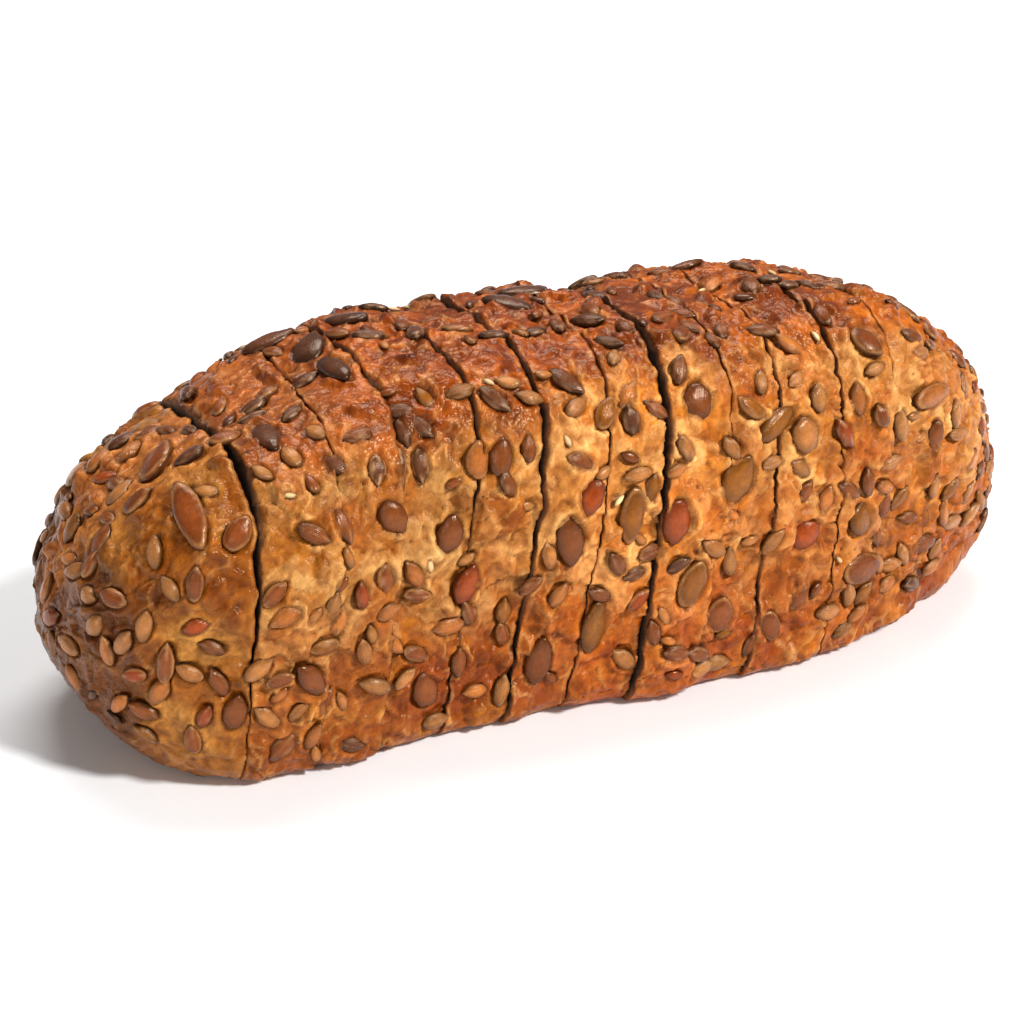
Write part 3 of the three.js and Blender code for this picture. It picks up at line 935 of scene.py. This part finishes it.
class Nodes:
    """A material and the means to add shader nodes to it."""

    def __init__(self, name):
        self.material = bpy.data.materials.new(name)
        self.material.use_nodes = True
        self.tree = self.material.node_tree
        self.shader = next(n for n in self.tree.nodes if n.type == "BSDF_PRINCIPLED")
        self.place = self.add("ShaderNodeTexCoord").outputs["Object"]

    def add(self, kind, inputs=None, **settings):
        node = self.tree.nodes.new(kind)
        for key, value in settings.items():
            setattr(node, key, value)
        for key, value in (inputs or {}).items():
            self.set(node, key, value)
        return node

    def set(self, node, key, value):
        if isinstance(value, bpy.types.NodeSocket):
            self.tree.links.new(value, node.inputs[key])
        else:
            node.inputs[key].default_value = value

    def grain(self, size_mm, detail=3.0, roughness=0.6):
        """Noise with features of that size, 0 to 1."""
        inputs = {"Vector": self.place, "Scale": 1000 / size_mm, "Detail": detail, "Roughness": roughness}
        return self.add("ShaderNodeTexNoise", inputs).outputs["Fac"]

    def warped(self, size_mm, by_mm):
        """Object coordinates pushed about by noise."""
        inputs = {"Vector": self.place, "Scale": 1000 / size_mm, "Detail": 2.0}
        push = self.add("ShaderNodeTexNoise", inputs).outputs["Color"]
        node = self.add("ShaderNodeVectorMath", operation="MULTIPLY_ADD")
        self.tree.links.new(push, node.inputs[0])
        node.inputs[1].default_value = (by_mm * MM,) * 3
        self.tree.links.new(self.place, node.inputs[2])
        return node.outputs[0]

    def ranged(self, value, low, high, to_low, to_high):
        inputs = {"Value": value, "From Min": low, "From Max": high, "To Min": to_low, "To Max": to_high}
        return self.add("ShaderNodeMapRange", inputs).outputs["Result"]

    def scaled(self, colour, factor):
        """A colour made lighter or darker by a factor."""
        node = self.add("ShaderNodeVectorMath", operation="SCALE")
        self.tree.links.new(colour, node.inputs[0])
        self.set(node, "Scale", factor)
        return node.outputs[0]

    def bump(self, height, strength, distance_mm, below=None):
        inputs = {"Height": height, "Strength": strength, "Distance": distance_mm * MM}
        if below is not None:
            inputs["Normal"] = below
        return self.add("ShaderNodeBump", inputs).outputs["Normal"]


def crust_material():
    m = Nodes("baked_crust")
    tone = m.add("ShaderNodeAttribute", attribute_name="tone").outputs["Color"]
    gloss = m.add("ShaderNodeAttribute", attribute_name="gloss").outputs["Fac"]
    mottle = m.ranged(m.grain(1.9, 4, 0.6), 0.32, 0.68, 0.84, 1.16)
    # Small bright flecks: painted glints.
    glint_fleck = m.ranged(m.grain(0.8, 2), 0.6, 0.75, 1.0, 1.3)
    m.set(m.shader, "Base Color", m.scaled(m.scaled(tone, mottle), glint_fleck))
    m.set(m.shader, "Roughness", m.ranged(gloss, 0, 1, 0.52, 0.27))
    plates = {"Vector": m.warped(2.0, 1.4), "Scale": 1000 / 2.4}
    edges = m.add("ShaderNodeTexVoronoi", plates, feature="DISTANCE_TO_EDGE")
    flakes = m.bump(m.ranged(edges.outputs["Distance"], 0, 0.16, 0, 1), 0.35, 0.2)
    coarse = m.bump(m.grain(2.4, 3, 0.55), 0.7, 0.6, flakes)
    m.set(m.shader, "Normal", m.bump(m.grain(0.6, 2), 0.3, 0.1, coarse))
    m.shader.inputs["Specular IOR Level"].default_value = 0.34
    m.shader.inputs["Specular Tint"].default_value = (1.0, 0.72, 0.45, 1)
    return m.material


def crumb_material():
    m = Nodes("crumb")
    tone = m.add("ShaderNodeAttribute", attribute_name="tone").outputs["Color"]
    pores = m.grain(1.8, 4, 0.65)
    m.set(m.shader, "Base Color", m.scaled(tone, m.ranged(pores, 0.3, 0.7, 0.6, 1.25)))
    m.shader.inputs["Roughness"].default_value = 0.85
    m.set(m.shader, "Normal", m.bump(pores, 0.8, 0.7))
    return m.material


def seed_material(name, roughness, ridge):
    m = Nodes(name)
    tone = m.add("ShaderNodeAttribute", attribute_name="tone").outputs["Color"]
    across = m.add("ShaderNodeAttribute", attribute_name="across").outputs["Fac"]
    m.set(m.shader, "Base Color", m.scaled(tone, m.ranged(m.grain(1.2, 3), 0.3, 0.7, 0.82, 1.18)))
    m.set(m.shader, "Roughness", m.ranged(m.grain(2.0, 2), 0.3, 0.7, roughness - 0.07, roughness + 0.12))
    lines = m.add("ShaderNodeTexNoise", {"W": across, "Scale": 9.0, "Detail": 2.0}, noise_dimensions="1D")
    fine = m.bump(m.grain(1.3, 3, 0.55), 0.5, 0.25)
    m.set(m.shader, "Normal", m.bump(lines.outputs["Fac"], ridge, 0.25, fine))
    m.shader.inputs["Specular IOR Level"].default_value = 0.5
    m.shader.inputs["Specular Tint"].default_value = (1.0, 0.76, 0.56, 1)
    return m.material


def floor_material():
    m = Nodes("pale_floor")
    shade = m.ranged(m.grain(60, 2), 0.3, 0.7, 0.985, 1.0)
    shades = {"Red": shade, "Green": shade, "Blue": shade}
    colour = m.add("ShaderNodeCombineColor", shades).outputs["Color"]
    m.set(m.shader, "Base Color", m.scaled(colour, 0.94))
    m.shader.inputs["Roughness"].default_value = 0.8
    return m.material


# The loaf.

seed_rows, covered_rows = all_seeds()
ring = ring_angles()
crust_look, crumb_look = crust_material(), crumb_material()
for number in range(len(NODES)):
    build_piece(number, ring, seed_rows, covered_rows, [crust_look, crumb_look])
build_seeds("pumpkin", seed_rows, seed_material("pumpkin_skin", 0.27, 0.3))
build_seeds("sunflower", seed_rows, seed_material("sunflower_skin", 0.26, 0.6))
build_seeds("flax", seed_rows, seed_material("flax_skin", 0.28, 0.1))
build_seeds("sesame", seed_rows, seed_material("sesame_skin", 0.5, 0.1))


# Floor, light and camera.


def add_floor():
    """A large floor just below the loaf."""
    mesh = bpy.data.meshes.new("floor")
    half = 6.0
    below = -0.0002
    corners = [(-half, -half, below), (half, -half, below), (half, half, below), (-half, half, below)]
    mesh.from_pydata(corners, [], [(0, 1, 2, 3)])
    mesh.materials.append(floor_material())
    floor = bpy.data.objects.new("floor", mesh)
    bpy.context.scene.collection.objects.link(floor)


def add_light(name, place, size, power):
    """A soft rectangular light that shines at the loaf."""
    light = bpy.data.lights.new(name, "AREA")
    light.shape = "RECTANGLE"
    light.size, light.size_y = size
    light.energy = power
    thing = bpy.data.objects.new(name, light)
    thing.location = place
    aim = Vector((0, 0, 0.04)) - Vector(place)
    thing.rotation_euler = aim.to_track_quat("-Z", "Y").to_euler()
    bpy.context.scene.collection.objects.link(thing)


def add_sun(name, towards, spread, strength):
    """Even light from a far soft source that lies towards that direction."""
    light = bpy.data.lights.new(name, "SUN")
    light.angle = math.radians(spread)
    light.energy = strength
    thing = bpy.data.objects.new(name, light)
    thing.rotation_euler = (-Vector(towards)).to_track_quat("-Z", "Y").to_euler()
    bpy.context.scene.collection.objects.link(thing)


def add_world(strength):
    world = bpy.data.worlds.new("studio")
    world.use_nodes = True
    background = next(n for n in world.node_tree.nodes if n.type == "BACKGROUND")
    background.inputs["Color"].default_value = (1, 1, 1, 1)
    background.inputs["Strength"].default_value = strength
    bpy.context.scene.world = world


def add_camera():
    """The photograph's view: from the left front, looking down on the near side and the left heel."""
    azimuth, elevation = math.radians(-24.73), math.radians(23.62)
    aim = Vector((-0.0096, -0.0008, 0.0341))
    back = Vector(
        (
            math.sin(azimuth) * math.cos(elevation),
            -math.cos(azimuth) * math.cos(elevation),
            math.sin(elevation),
        )
    )
    data = bpy.data.cameras.new("camera")
    data.sensor_fit = "HORIZONTAL"
    data.sensor_width = 36
    data.lens = 36 * 2250.9 / 1024
    data.clip_start, data.clip_end = 0.01, 50
    camera = bpy.data.objects.new("camera", data)
    camera.location = aim + back * 0.542
    camera.rotation_euler = (-back).to_track_quat("-Z", "Y").to_euler()
    bpy.context.scene.collection.objects.link(camera)
    bpy.context.scene.camera = camera


add_floor()
add_world(0.22)
add_sun("key", (0.7, -0.95, 1.1), 10, 3.5)
add_light("above", (0.25, 0.55, 1.35), (0.9, 0.6), 15)
add_light("fill", (-1.3, -1.5, 0.8), (0.6, 0.6), 7)
add_camera()
bpy.context.scene.view_settings.view_transform = "Standard"
